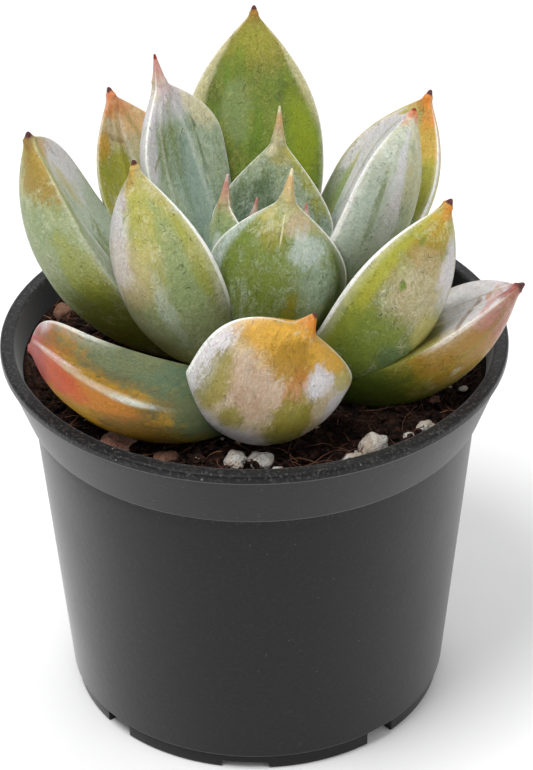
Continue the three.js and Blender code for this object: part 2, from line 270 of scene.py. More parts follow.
leaves = {
    "leaf_front_low": {
        "azimuth": -88, "height": 84, "tip": (12.2, -34, 109), "width": 33.5, "thick": 13,
        "bow": (15, 12), "sway": (-6.5, -8), "shape": "blunt", "cup": 0.08,
    },
    "leaf_right_low": {
        "azimuth": -25, "height": 82, "tip": (54.3, -12, 102), "width": 28, "thick": 14,
        "bow": (10, 4), "sway": (-3, -2), "shape": "full", "under": 0.68,
        "folds": (
            ("upper", -0.4, -0.3, 0.35, 0.8), ("upper", 0.1, 0, -0.3, 1.4),
            ("under", -0.75, -0.8, -0.35, 0.8),
        ),
    },
    "leaf_left_low": {
        "azimuth": -115, "height": 77, "tip": (-45.5, -14.4, 90), "width": 24.5, "thick": 12,
        "bow": (3, 6), "sway": (28, 24), "twist": 24, "shape": "stout", "widestAt": 0.7,
        "footWidth": 0.25,
        "folds": (("under", 0.72, 0.64, 0.5, 0.8), ("under", 0.85, 0.78, -0.4, 0.9)),
    },
    "leaf_left": {
        "azimuth": 178, "height": 84, "tip": (-44, -6, 134.1), "width": 32, "thick": 14.3,
        "bow": (14, 12), "twist": 7, "shape": "full", "widestAt": 0.6, "under": 0.615, "cup": 0.34,
        "folds": (("upper", 0.5, 0.6, 0.5, 0.9), ("upper", 0.72, 0.8, -0.4, 0.8)),
    },
    "leaf_left_front": {
        "azimuth": 222, "height": 86, "tip": (-23, -16, 133.1), "width": 24, "thick": 11,
        "bow": (12, 7), "sway": (1, 0.5), "twist": 20, "shape": "pointed",
    },
    "leaf_right_front": {
        "azimuth": -38, "height": 84, "tip": (38.7, -20, 126), "width": 25, "thick": 11,
        "bow": (15, 4), "twist": -22, "shape": "pointed",
    },
    "leaf_back": {
        "azimuth": 98, "height": 86, "tip": (0.6, 30, 143.6), "width": 29.6, "thick": 12,
        "bow": (9, 5), "sway": (1, 1), "shape": "pointed", "fullness": 2.4, "under": 0.67,
    },
    "leaf_left_back": {
        "azimuth": 135, "height": 85, "tip": (-29.7, 27, 126.7), "width": 26.5, "thick": 8,
        "bow": (10, 8), "shape": "pointed", "fullness": 2.7,
        "folds": (
            ("upper", 0.25, 0.35, -0.35, 0.8), ("upper", 0.05, 0, 0.3, 0.9),
            ("upper", -0.3, -0.45, -0.3, 0.9),
        ),
    },
    "leaf_right_back": {
        "azimuth": 48, "height": 85, "tip": (37, 27, 125.4), "width": 25, "thick": 13,
        "bow": (9, 8), "shape": "pointed", "widestAt": 0.6, "fullness": 2.4, "under": 0.68,
    },
    "leaf_back_left_low": {
        "azimuth": 155, "height": 82, "tip": (-33, 18, 95), "width": 25, "thick": 10,
        "bow": (4, 4), "shape": "pointed",
    },
    "leaf_back_right_low": {
        "azimuth": 50, "height": 82, "tip": (33, 22, 95), "width": 25, "thick": 10,
        "bow": (4, 4), "shape": "pointed",
    },
    "leaf_back_low": {
        "azimuth": 105, "height": 83, "tip": (-4, 38, 102), "width": 26, "thick": 10,
        "bow": (5, 5), "shape": "pointed",
    },
    "leaf_front": {
        "azimuth": -97, "height": 88, "tip": (7.8, -15, 130.4), "width": 27.5, "thick": 9,
        "bow": (6, 5), "sway": (1.6, 0.4), "shape": "spiked", "fullness": 2, "spikeFoot": 1.7,
    },
    "leaf_inner_left": {
        "azimuth": 165, "height": 89, "tip": (-19.3, 10, 142.8), "width": 24, "thick": 8,
        "bow": (5, 4), "sway": (-3, -4), "twist": -20, "shape": "spiked", "fullness": 2,
        "widestAt": 0.7, "spikeFoot": 1.6,
        "folds": (
            ("upper", 0.42, 0.55, 0.35, 0.8), ("upper", 0.15, 0.1, -0.3, 1.2),
            ("upper", -0.2, -0.45, 0.3, 0.9), ("upper", -0.32, -0.6, -0.45, 0.7),
        ),
    },
    "leaf_inner_right": {
        "azimuth": 10, "height": 89, "tip": (32.3, 1, 134.9), "width": 28, "thick": 12.2, "cup": 0.5,
        "bow": (6, 3), "sway": (-1, -2), "twist": -19, "shape": "full", "fullness": 4, "under": 0.59,
        "folds": (
            ("upper", 0.3, 0.5, 0.4, 0.7), ("upper", 0.55, 0.7, -0.4, 0.8),
            ("upper", 0, 0.25, 0.3, 0.8),
        ),
    },
    "leaf_inner_back": {
        "azimuth": 80, "height": 90, "tip": (5.6, 11, 130.4), "width": 25, "thick": 7,
        "bow": (3, 2), "shape": "spiked", "fullness": 1.5, "spike": 7, "spikeFoot": 1.5,
    },
    "leaf_heart_left": {
        "azimuth": 212, "height": 92, "tip": (-4.9, -4, 123.2), "width": 18, "thick": 5,
        "bow": (2, 2), "sway": (-1.5, -1.5), "shape": "spiked",
    },
    "leaf_heart_right": {
        "azimuth": -5, "height": 92, "tip": (10.6, -5, 117), "width": 12, "thick": 5,
        "bow": (2, 2), "shape": "spiked",
    },
    "leaf_heart_back": {
        "azimuth": 140, "height": 94, "tip": (0.9, -1, 116), "width": 9, "thick": 4,
        "bow": (1, 1), "shape": "spiked",
    },
    "leaf_heart_front": {
        "azimuth": -80, "height": 94, "tip": (3.5, -10, 112), "width": 12, "thick": 5,
        "bow": (1, 1), "shape": "bud",
    },
    "leaf_bud_right": {
        "azimuth": 45, "height": 97, "tip": (4, -5.8, 110), "width": 10, "thick": 5.5,
        "bow": (1.5, 1.5), "shape": "bud",
    },
    "leaf_bud_left": {
        "azimuth": 225, "height": 97, "tip": (1, -8, 108.5), "width": 10, "thick": 5.5,
        "bow": (1.5, 1.5), "shape": "bud",
    },
}


def stemRadius(z):
    rise = clamp((z - stem["coneZ"]) / (stem["topZ"] - stem["coneZ"]))
    return mix(stem["radius"], stem["topRadius"], rise)


def leafCurve(leaf):
    azimuth = math.radians(leaf["azimuth"])
    outward = Vector((math.cos(azimuth), math.sin(azimuth), 0))
    foot = Vector((*stem["centre"], leaf["height"]))
    foot += outward * (stemRadius(leaf["height"]) - leafForm["root"])
    tip = Vector(leaf["tip"])
    chord = (tip - foot).normalized()
    left = Vector((-outward.y, outward.x, 0))
    left = (left - chord * left.dot(chord)).normalized()
    under = left.cross(chord)
    bends = [
        foot.lerp(tip, (i + 1) / 3) + under * leaf["bow"][i] + left * leaf["sway"][i]
        for i in (0, 1)
    ]
    return (foot, *bends, tip), left


def onCurve(points, t):
    a, b, c, d = points
    return a * (1 - t) ** 3 + b * 3 * t * (1 - t) ** 2 + c * 3 * t * t * (1 - t) + d * t ** 3


def alongCurve(points, t):
    a, b, c, d = points
    return ((b - a) * (1 - t) ** 2 + (c - b) * 2 * t * (1 - t) + (d - c) * t * t).normalized()


def swelling(t, peak, footShare, footEase, fullness, taper):
    # Rises from its share at the foot to 1 at the peak, then falls to 0 at the end of the blade
    if t < peak:
        return mix(footShare, 1, math.sin(math.pi / 2 * t / peak) ** footEase)
    past = min(1, (t - peak) / (1 - peak))
    return (1 - past ** fullness) ** taper


def bladeWidth(t, shape):
    return swelling(
        t, shape["widestAt"], shape["footWidth"], shape["footEase"], shape["fullness"],
        shape["taper"])


def bladeThickness(t, shape):
    return swelling(
        t, shape["thickestAt"], shape["footThickness"], 1, shape["thickFullness"],
        shape["thickTaper"])


def foldsAt(shape, blade, across, up, halfWidth):
    # The folds' height here, and whether this is a ridge (above 0) or a groove (below 0)
    height, line = 0, 0
    bendFrom, bendLength = leafForm["foldBend"]
    for face, nearTip, nearFoot, foldHeight, foldWidth in shape["folds"]:
        if (face == "upper") != (up > 0):
            continue
        centreLine = mix(nearFoot, nearTip, clamp((blade - bendFrom) / bendLength))
        away = (across - centreLine) * halfWidth / foldWidth
        reach = math.exp(-away ** 2) * smoothStep(blade, *leafForm["foldRise"])
        reach *= smoothStep(blade, *leafForm["foldEnd"])
        height += foldHeight * reach
        line += math.copysign(reach, foldHeight)
    return height, line


def leafMesh(leaf, seed):
    # A ball whose poles become the foot and the tip is drawn out along the leaf's curve
    shape = {**bladeForm, **leafShapes[leaf["shape"]], **leaf}
    form = leafForm
    points, left = leafCurve(shape)
    steps = [onCurve(points, i / form["curveSteps"]) for i in range(form["curveSteps"] + 1)]
    length = sum((b - a).length for a, b in zip(steps, steps[1:]))
    spikeShare = shape["spike"] / length
    bm = bmesh.new()
    bmesh.ops.create_uvsphere(bm, u_segments=form["segments"], v_segments=form["rings"], radius=1)
    flatLayer = bm.verts.layers.float_vector.new("leafFlat")
    shareLayer = bm.verts.layers.float_vector.new("leafShare")
    gapLayer = bm.verts.layers.float.new("tipGap")
    foldLayer = bm.verts.layers.float.new("leafFold")
    for vert in bm.verts:
        row = 1 - math.acos(clamp(vert.co.z, -1, 1)) / math.pi
        reach = math.hypot(vert.co.x, vert.co.y)
        across, up = (vert.co.x / reach, vert.co.y / reach) if reach > 1e-5 else (0, 0)
        blade = 1 - (1 - min(1, row / form["bladeRows"])) ** form["bladeEase"]
        spike = clamp((row - form["bladeRows"]) / (1 - form["bladeRows"]))
        spike = 1 - (1 - spike) ** form["spikeEase"]
        along = blade * (1 - spikeShare) + spike * spikeShare
        toTip = (1 - along) * length
        # The leaf's own directions here: forward to the tip, side to its left, and over
        centre = onCurve(points, along)
        forward = alongCurve(points, along)
        side = (left - forward * left.dot(forward)).normalized()
        side = turn(shape["twist"], forward) @ side
        over = forward.cross(side)
        # Half width and depth, never less than the spike's, closed round at both ends
        least = mix(shape["spikeFoot"], shape["spikeTip"], spike ** form["spikeThinning"])
        cap = math.sqrt(max(0, 1 - max(0, 1 - toTip / least) ** 2))
        cap *= math.sqrt(min(1, row / form["footCap"]))
        halfWidth = softMax(shape["width"] / 2 * bladeWidth(blade, shape), least)
        thickShare = shape["under"] if up < 0 else 1 - shape["under"]
        depth = softMax(shape["thick"] * thickShare * bladeThickness(blade, shape), least)
        crisp = mix(form["crisp"], 1, spike)
        rise = math.copysign(abs(up) ** crisp, up) * depth
        # Soft waves, fine lengthwise wrinkles, a crease down the upper face and a keel below it
        flatAcross = across * halfWidth
        spot = Vector((flatAcross, along * length, 4 * up + seed))
        loose = (1 - across ** 4) * (1 - spike) * smoothStep(row, 0, 0.1)
        swell = form["wave"] * noise.noise(spot * Vector(form["waveGrain"]))
        swell += form["wrinkle"] * noise.noise(spot * Vector(form["wrinkleGrain"]))
        towardsTip = smoothStep(along, *form["creaseRise"]) * (1 - spike)
        if up > 0:
            swell -= form["crease"] * towardsTip * math.exp(-(flatAcross / form["creaseWidth"]) ** 2)
        else:
            swell += form["keel"] * towardsTip * math.exp(-(flatAcross / form["keelWidth"]) ** 2)
        foldHeight, foldLine = foldsAt(shape, blade, across, up, halfWidth)
        swell += foldHeight
        rise += math.copysign(swell * loose * min(1, abs(up) * 4), up)
        lift = shape["cup"] * halfWidth * across ** 2
        vert.co = centre + (side * flatAcross + over * (rise + lift)) * cap
        vert[flatLayer] = (flatAcross, along * length, rise)
        vert[shareLayer] = (across, blade, up)
        vert[gapLayer] = toTip
        vert[foldLayer] = foldLine
    bmesh.ops.recalc_face_normals(bm, faces=bm.faces)
    return bm


# Leaf skins: a green to gold skin under a pale powdery bloom that is rubbed thin in places. A
# patch lies across (-1 to 1) and along (0 foot to 1 tip) a leaf, with half its size in the same
# shares, a tint for the skin, more or less bloom over it, and a face if it is on one only.
# The palest tint serves the leaf margins and the painted highlights on folds and flecks
tints = {
    "maroon": tone(84, 38, 36), "rust": tone(150, 62, 34), "coral": tone(208, 118, 64),
    "rose": tone(150, 36, 14), "mauve": tone(176, 140, 134), "pink": tone(216, 186, 178),
    "blossom": tone(208, 142, 132), "peach": tone(224, 180, 126), "cream": tone(226, 218, 178),
    "beige": tone(194, 174, 138), "orange": tone(212, 126, 34), "amber": tone(178, 108, 22),
    "flame": tone(180, 64, 10), "gold": tone(204, 156, 48), "mustard": tone(158, 118, 12),
    "umber": tone(92, 68, 16), "brown": tone(122, 88, 44), "straw": tone(186, 176, 100),
    "lime": tone(164, 164, 52), "chartreuse": tone(136, 150, 14), "olive": tone(138, 130, 36),
    "moss": tone(112, 128, 46), "grass": tone(106, 136, 34), "deep": tone(66, 86, 26),
    "sage": tone(140, 158, 104), "pine": tone(82, 106, 78), "slate": tone(144, 168, 156),
    "mist": tone(196, 208, 204), "lavender": tone(216, 212, 218), "veil": tone(206, 208, 188),
    "haze": tone(192, 206, 192), "rim": tone(250, 250, 244),
}


def patch(across, along, wide, high, tint, bloom=0.0, face=None, turn=0, strength=0.8,
          ragged=1.1, soft=0.4):
    return {
        "at": (across, along), "half": (wide, high), "tint": tint, "bloom": bloom, "face": face,
        "turn": turn, "strength": strength, "ragged": ragged, "soft": soft,
    }


leafLooks = {
    "outer": {
        "skin": ("deep", "moss", "lime", "lime"), "dark": "moss", "bloom": "veil",
        "cover": 0.24, "blush": "orange", "blushReach": 5, "point": "maroon",
        "pointReach": 1.1, "rims": (1, 1), "rimFoot": 0.3, "patches": [],
    },
    "inner": {
        "skin": ("pine", "sage", "sage", "straw"), "dark": "moss", "bloom": "haze",
        "cover": 0.36, "blush": "peach", "blushReach": 7, "point": "cream",
        "pointReach": 1.8, "rims": (1, 1), "rimFoot": 0.3, "patches": [],
    },
    "leaf_front_low": {
        "skin": ("olive", "beige", "beige", "gold"), "dark": "mustard", "cover": 0.2,
        "blush": "orange", "blushReach": 3.5, "pointReach": 0.9, "patches": [
            patch(-0.93, 0.72, 0.12, 0.2, "lavender", 0.5, ragged=0.6),
            patch(-0.3, 0.44, 0.8, 0.1, "lavender", 0.3),
            patch(0.8, 0.64, 0.2, 0.18, "lavender", 0.35),
            patch(0.85, 0.84, 0.2, 0.07, "straw", 0.1),
            patch(-0.4, 0.74, 0.4, 0.12, "mauve", 0.1, strength=0.4),
            patch(-0.8, 0.68, 0.13, 0.12, "olive", -0.4),
            patch(-0.5, 0.58, 0.12, 0.06, "olive", -0.3),
            patch(-0.4, 0.94, 0.8, 0.06, "gold", -0.5, ragged=0.9),
            patch(0.5, 0.93, 0.45, 0.05, "gold", -0.5, ragged=0.9),
            patch(-0.1, 0.9, 0.36, 0.09, "mustard", -0.6, ragged=0.9, soft=0.3, strength=0.9),
            patch(0.12, 0.8, 0.16, 0.08, "amber", -0.3, strength=0.6),
            patch(0.44, 0.83, 0.19, 0.08, "lavender", 0.7, soft=0.3),
            patch(0.22, 0.58, 0.3, 0.17, "olive", -0.7, ragged=0.9, soft=0.25, strength=0.9),
        ],
    },
    "leaf_right_low": {
        "skin": ("deep", "olive", "beige", "pink"), "dark": "olive", "cover": 0.1,
        "blush": "rust", "blushReach": 3.5, "pointReach": 2, "rims": (0.5, 0.8), "rimFoot": 0.7,
        "patches": [
            patch(0.1, 0.84, 1.6, 0.2, "lavender", 0.6, "upper"),
            patch(-0.5, 0.9, 0.7, 0.025, "blossom", -0.3, "upper", turn=4, strength=0.8, ragged=0.5),
            patch(-0.6, 0.79, 0.6, 0.016, "brown", -0.4, "upper", turn=6, strength=0.7, ragged=0.4),
            patch(0.1, 0.9, 0.5, 0.012, "coral", -0.3, "upper", turn=4, strength=0.6, ragged=0.4),
            patch(-0.8, 0.97, 0.5, 0.04, "rose", -0.3, "upper"),
            patch(-0.5, 0.64, 0.8, 0.05, "olive", -0.5, "upper"),
            patch(-0.7, 0.86, 0.5, 0.12, "rust", -0.8, "under", ragged=0.7, strength=0.7),
            patch(-0.8, 0.72, 0.5, 0.1, "mustard", -0.8, "under", ragged=0.7, strength=0.8),
            patch(-0.9, 0.6, 0.5, 0.08, "mustard", -0.6, "under"),
            # Painted shade: this leaf's foot is darkened where the leaves above and the pot shade it
            patch(0, 0.26, 1.6, 0.26, "deep", -0.8, ragged=0.6),
        ],
    },
    "leaf_left_low": {
        "skin": ("deep", "mustard", "mustard", "flame"), "dark": "umber", "cover": -0.3,
        "blush": "rose", "blushReach": 3, "point": "rose", "rims": (0.3, 0.6), "rimFoot": 0.75,
        "patches": [
            patch(0.85, 0.32, 0.7, 0.2, "pine", 0.15, ragged=1.1),
            patch(0.95, 0.6, 0.17, 0.22, "pine", -0.4, ragged=0.9),
            patch(0.97, 0.93, 0.14, 0.06, "lavender", 0.8, ragged=0.6),
            patch(0.72, 0.82, 0.022, 0.1, "pink", 0.8, turn=8, ragged=0.9),
            patch(0.64, 0.58, 0.05, 0.08, "haze", 0.5, ragged=1.6),
            patch(0.1, 0.72, 0.4, 0.12, "mustard", -0.6, ragged=0.8),
            patch(0.15, 0.53, 0.4, 0.12, "umber", -0.7, ragged=0.8),
            patch(0.5, 0.66, 0.18, 0.12, "amber", -0.6, ragged=0.9),
            patch(0.45, 0.81, 0.28, 0.1, "flame", -0.8, ragged=0.8, strength=0.9),
            patch(0.2, 0.93, 0.8, 0.08, "rose", -0.8, ragged=0.7, strength=0.95),
        ],
    },
    "leaf_left": {
        "skin": ("deep", "moss", "sage", "straw"), "cover": 0.34, "blush": "brown",
        "blushReach": 3, "rims": (1, 0.15), "patches": [
            patch(-0.3, 0.62, 1.2, 0.2, "haze", 0.45, "upper", strength=0.6),
            patch(0.15, 0.54, 0.4, 0.1, "moss", -0.3, "upper"),
            patch(-0.6, 0.84, 0.6, 0.12, "lavender", 0.7, "upper"),
            patch(-0.2, 0.8, 0.16, 0.08, "straw", 0.2, "upper", strength=0.6),
            patch(-0.35, 0.96, 0.45, 0.04, "gold", -0.4, "upper", strength=0.7),
            patch(0.85, 0.76, 0.35, 0.14, "sage", 0.2, "under", strength=0.5),
            patch(0.7, 0.93, 0.5, 0.07, "mustard", -0.4, "under", strength=0.7),
            patch(0.9, 0.62, 0.16, 0.16, "lime", -0.2, "under", strength=0.6),
            patch(0.8, 0.34, 0.5, 0.16, "moss", -0.3, "under"),
        ],
    },
    "leaf_left_front": {
        "skin": ("moss", "moss", "straw", "straw"), "cover": 0.3, "blush": "gold",
        "blushReach": 3.5, "rims": (0.7, 1), "patches": [
            patch(0, 0.5, 2, 0.7, "mist", 0.5, "upper"),
            patch(-0.1, 0.97, 0.6, 0.03, "mustard", -0.2, strength=0.6),
            patch(-0.45, 0.91, 0.35, 0.03, "mauve", 0, turn=-4, strength=0.6, ragged=0.8),
            patch(-0.2, 0.88, 0.13, 0.014, "brown", -0.3, turn=-5, strength=0.6, ragged=0.5),
            patch(-0.6, 0.72, 0.5, 0.18, "lavender", 0.75),
            patch(-0.1, 0.62, 0.45, 0.12, "beige", -0.3, strength=0.6),
            patch(0, 0.36, 0.9, 0.14, "sage", 0.35, strength=0.5),
            patch(0.6, 0.82, 0.4, 0.14, "lime", -0.1, strength=0.5),
            patch(0.72, 0.6, 0.18, 0.26, "sage", 0.1, ragged=0.9),
            patch(0.92, 0.6, 0.1, 0.2, "lime", -0.2, ragged=0.8, strength=0.5),
            patch(0.38, 0.5, 0.1, 0.14, "mist", 0.15, ragged=1.8, strength=0.3),
        ],
    },
    "leaf_right_front": {
        "skin": ("deep", "moss", "olive", "lime"), "cover": 0.24, "blushReach": 4, "patches": [
            patch(-0.45, 0.93, 0.6, 0.05, "gold", 0, strength=0.4, ragged=1.6),
            patch(-0.5, 0.85, 0.4, 0.06, "mustard", -0.2, strength=0.5, ragged=1.6),
            patch(-0.3, 0.69, 0.5, 0.14, "beige", 0.3, strength=0.5),
            patch(-0.94, 0.62, 0.14, 0.36, "lime", -0.4, ragged=0.6),
            patch(0.3, 0.76, 0.3, 0.16, "lavender", 0.5),
            patch(0.4, 0.94, 0.4, 0.05, "straw", 0.1),
            patch(-0.5, 0.42, 0.9, 0.14, "moss", -0.4, strength=0.7),
            patch(-0.15, 0.42, 0.3, 0.08, "pine", 0, strength=0.6),
            patch(0.1, 0.55, 0.3, 0.08, "straw", 0.1),
            patch(-0.7, 0.87, 0.05, 0.016, "moss", -0.6, ragged=0.9),
            patch(-0.62, 0.7, 0.04, 0.02, "grass", -0.6, ragged=0.9),
        ],
    },
    "leaf_back": {
        "skin": ("deep", "grass", "moss", "olive"), "dark": "deep", "cover": 0.22,
        "bloom": "straw", "blush": "amber", "blushReach": 4, "patches": [
            patch(0, 0.92, 0.9, 0.07, "lime", 0, strength=0.6),
            patch(-0.95, 0.82, 0.14, 0.16, "cream", 0.3, ragged=0.8, strength=0.5),
            patch(0.95, 0.76, 0.16, 0.26, "cream", 0.4, ragged=0.8, strength=0.6),
            patch(0.3, 0.84, 0.3, 0.06, "grass", -0.2, strength=0.5),
            patch(0.25, 0.7, 0.2, 0.1, "sage", 0.2, strength=0.6),
            patch(-0.72, 0.6, 0.2, 0.16, "chartreuse", -0.5, ragged=0.8, strength=0.8),
        ],
    },
    "leaf_left_back": {
        "skin": ("moss", "lime", "straw", "peach"), "dark": "olive", "cover": 0.45,
        "blush": "coral", "blushReach": 6, "rims": (0.8, 0.3), "patches": [
            patch(-0.4, 0.88, 0.8, 0.07, "peach", 0.5),
            patch(0.2, 0.95, 0.9, 0.03, "orange", -0.2, strength=0.5),
            patch(0.35, 0.88, 0.25, 0.03, "beige", 0.2, turn=5, ragged=0.6),
            patch(0.35, 0.85, 0.3, 0.012, "brown", -0.3, turn=5, strength=0.6, ragged=0.4),
            patch(0.78, 0.84, 0.22, 0.05, "gold", -0.6),
            patch(0.6, 0.73, 0.6, 0.08, "lime", -0.4),
        ],
    },
    "leaf_right_back": {
        "skin": ("moss", "sage", "straw", "straw"), "dark": "olive", "cover": 0.1,
        "blushReach": 5, "patches": [
            patch(-0.7, 0.94, 0.6, 0.04, "orange", -0.5, strength=0.7),
            patch(-0.75, 0.86, 0.35, 0.07, "gold", -0.2, strength=0.6),
            patch(-0.85, 0.7, 0.3, 0.1, "lime", -0.3),
            patch(0.83, 0.74, 0.12, 0.2, "lavender", 0.5, ragged=0.8),
            patch(0.75, 0.56, 0.3, 0.08, "sage", -0.1),
        ],
    },
    "leaf_front": {
        "skin": ("moss", "moss", "moss", "straw"), "cover": 0.24, "patches": [
            patch(-0.95, 0.6, 0.12, 0.3, "mist", 0.4, ragged=0.5),
            patch(-0.65, 0.74, 0.35, 0.14, "moss", -0.15, ragged=1.6, strength=0.6),
            patch(-0.7, 0.93, 0.3, 0.05, "straw", 0),
            patch(-0.2, 0.84, 0.35, 0.08, "olive", -0.1, ragged=1.5, strength=0.5),
            patch(-0.15, 0.63, 0.35, 0.1, "moss", -0.15, ragged=1.5, strength=0.6),
            patch(0.5, 0.9, 0.4, 0.06, "beige", 0.2, ragged=1.3),
            patch(0.6, 0.76, 0.32, 0.08, "mist", 0.2, ragged=1.6, strength=0.6),
            patch(0.6, 0.58, 0.3, 0.14, "slate", 0, ragged=1.5, strength=0.5),
            patch(0.3, 0.5, 0.12, 0.09, "olive", -0.5, ragged=1.2),
            patch(0.96, 0.62, 0.1, 0.16, "deep", -0.6, ragged=0.6, strength=0.7),
            patch(0, 0.88, 0.025, 0.08, "cream", 0.2, ragged=0.3),
        ],
    },
    "leaf_inner_left": {
        "blush": "blossom", "point": "rose", "pointReach": 1.2, "blushReach": 9, "cover": 0.78,
        "patches": [
            patch(-0.1, 0.93, 1.2, 0.08, "lavender", 0.6),
            patch(-0.8, 0.84, 0.3, 0.09, "cream", 0.4),
            patch(-0.75, 0.65, 0.3, 0.14, "sage", -0.1, strength=0.6),
            patch(-0.12, 0.54, 0.4, 0.22, "slate", 0.35),
            patch(0.28, 0.75, 0.36, 0.14, "moss", -0.2, turn=-8, ragged=0.9, strength=0.6),
            patch(0.85, 0.78, 0.2, 0.16, "lavender", 0.5),
            patch(0.45, 0.84, 0.035, 0.1, "olive", -0.4, turn=-20, ragged=0.4),
            patch(0.7, 0.72, 0.14, 0.012, "olive", -0.4, turn=-10, ragged=0.4),
            patch(-0.45, 0.66, 0.025, 0.14, "pine", -0.5, turn=3, ragged=0.5),
            patch(-0.5, 0.8, 0.03, 0.03, "pine", -0.5, ragged=0.5),
        ],
    },
    "leaf_inner_right": {
        "skin": ("moss", "sage", "straw", "cream"), "blush": "coral", "blushReach": 3,
        "point": "rust", "pointReach": 0.7, "cover": 0.55, "rims": (0.8, 0.8), "patches": [
            patch(0, 0.75, 1.6, 0.5, "lavender", 0.6, "upper"),
            patch(0.7, 0.42, 0.5, 0.1, "pine", -0.1, "upper"),
            patch(-0.62, 0.75, 0.1, 0.25, "lavender", 0.6, "under"),
            patch(-0.85, 0.8, 0.2, 0.2, "mist", 0.2, "under", strength=0.4),
            patch(-0.85, 0.42, 0.4, 0.24, "haze", 0.5, "under", strength=0.6),
            patch(-0.8, 0.66, 0.03, 0.14, "moss", -0.3, "under", ragged=0.8),
        ],
    },
    "leaf_inner_back": {
        "skin": ("deep", "pine", "sage", "straw"), "dark": "pine", "cover": 0.55, "patches": [
            patch(0.3, 0.6, 0.7, 0.18, "pine", -0.2, strength=0.5),
            patch(-0.88, 0.8, 0.3, 0.2, "lime", -0.3),
            patch(-0.2, 0.91, 0.5, 0.06, "straw", 0.1, strength=0.7),
            patch(0.45, 0.95, 0.35, 0.04, "cream", 0.4),
        ],
    },
    "leaf_heart_left": {
        "blushReach": 7, "blush": "blossom", "point": "pink", "patches": [
            patch(0.6, 0.84, 0.6, 0.12, "sage", 0.1),
            patch(-0.3, 0.66, 0.4, 0.14, "slate", 0.2),
            patch(0.3, 0.66, 0.16, 0.14, "mist", 0.4),
        ],
    },
}
heartLeaves = (
    "leaf_heart_right", "leaf_heart_back", "leaf_heart_front", "leaf_bud_right", "leaf_bud_left",
)
for name in heartLeaves:
    leafLooks[name] = {"blush": "pink", "point": "blossom", "blushReach": 8}


# Noise on a leaf's own millimetres, from broad clouds to powder, each -0.5 to 0.5: how the leaf's
# seed shifts it, a fixed shift, how far it is drawn out along the leaf (1 not at all), and its
# scale, detail, roughness and distortion
skinNoises = {
    "cloudy": ((1, 0, 0), (0, 0, 0), 0.5, (0.13, 5, 0.62, 0.9)),
    "shade": ((0, 1, 0), (0, 0, 4), 0.5, (0.17, 4, 0.6, 0.6)),
    "mottle": ((0, 1, 0), (0, 0, 0), 0.6, (0.5, 5, 0.68, 0.4)),
    "streak": ((1, 0, 0), (0, 3, 0), 0.12, (0.8, 4, 0.6, 0)),
    "powder": ((0, 0, 0), (0, 0, 0), 1, (3, 4, 0.7, 0)),
    "crackle": ((1, 1, 0), (0, 0, 0), 0.7, (1.1, 5, 0.72, 1.8)),
    "scratch": ((0, 1, 0), (0, 0, 0), 0.5, (0.28, 3, 0.55, 1.6)),
}
# How much of each noise goes into each layer of the skin
skinLayers = {
    "place": {"cloudy": 0.6},
    "bloom": {"cloudy": 0.8, "mottle": 1.2, "streak": 0.8, "crackle": 1.6},
    "bloomPowder": {"powder": 0.4},
    "patchEdge": {"cloudy": 1.6, "mottle": 1.6, "crackle": 0.8},
    "blushEdge": {"cloudy": 7, "streak": 5},
    "pointEdge": {"mottle": 1.5},
    "speckle": {"powder": 0.5, "crackle": 1.15},
    "highlightFlecks": {"crackle": 1, "powder": 0.8},
    "relief": {"mottle": 0.4, "streak": 0.8, "crackle": 0.8, "powder": 0.25},
}
# Where each of these begins and ends as its measure changes, and its strength at both
skinSteps = {
    "dark": (-0.02, 0.16, 0, 0.55), "upperFace": (-0.08, 0.08), "bloom": (-0.05, 1.05),
    "ridge": (0.35, 0.95, 0, 0.25), "groove": (-0.4, -1, 0, 0.35),
    "rimLine": (0.02, 0.006, 0, 0.75), "rimGlow": (0.09, 0, 0, 0.25), "rimToPoint": (2, 7, 0.15, 1),
    "scar": (0.1, 0.04), "scarred": (0, 0.06), "scratch": (0.007, 0.002), "scratched": (0, 0.1),
    "highlightFlecks": (0.24, 0.42, 0, 0.55), "roughness": (0, 1, 0.36, 0.6),
}
skinForm = {
    "stops": (0.1, 0.5, 0.8, 0.98), "bloomStrength": 0.62, "blushFade": 1.25, "blushStrength": 0.95,
    "rimFade": 0.15, "pointEdge": 0.6, "scarScale": 0.42, "scarStrength": 0.45,
    "scratchStrength": 0.6, "bloomHeight": 0.25, "scarDepth": 0.6, "relief": 0.27,
    "throughLeaf": 1000,
}


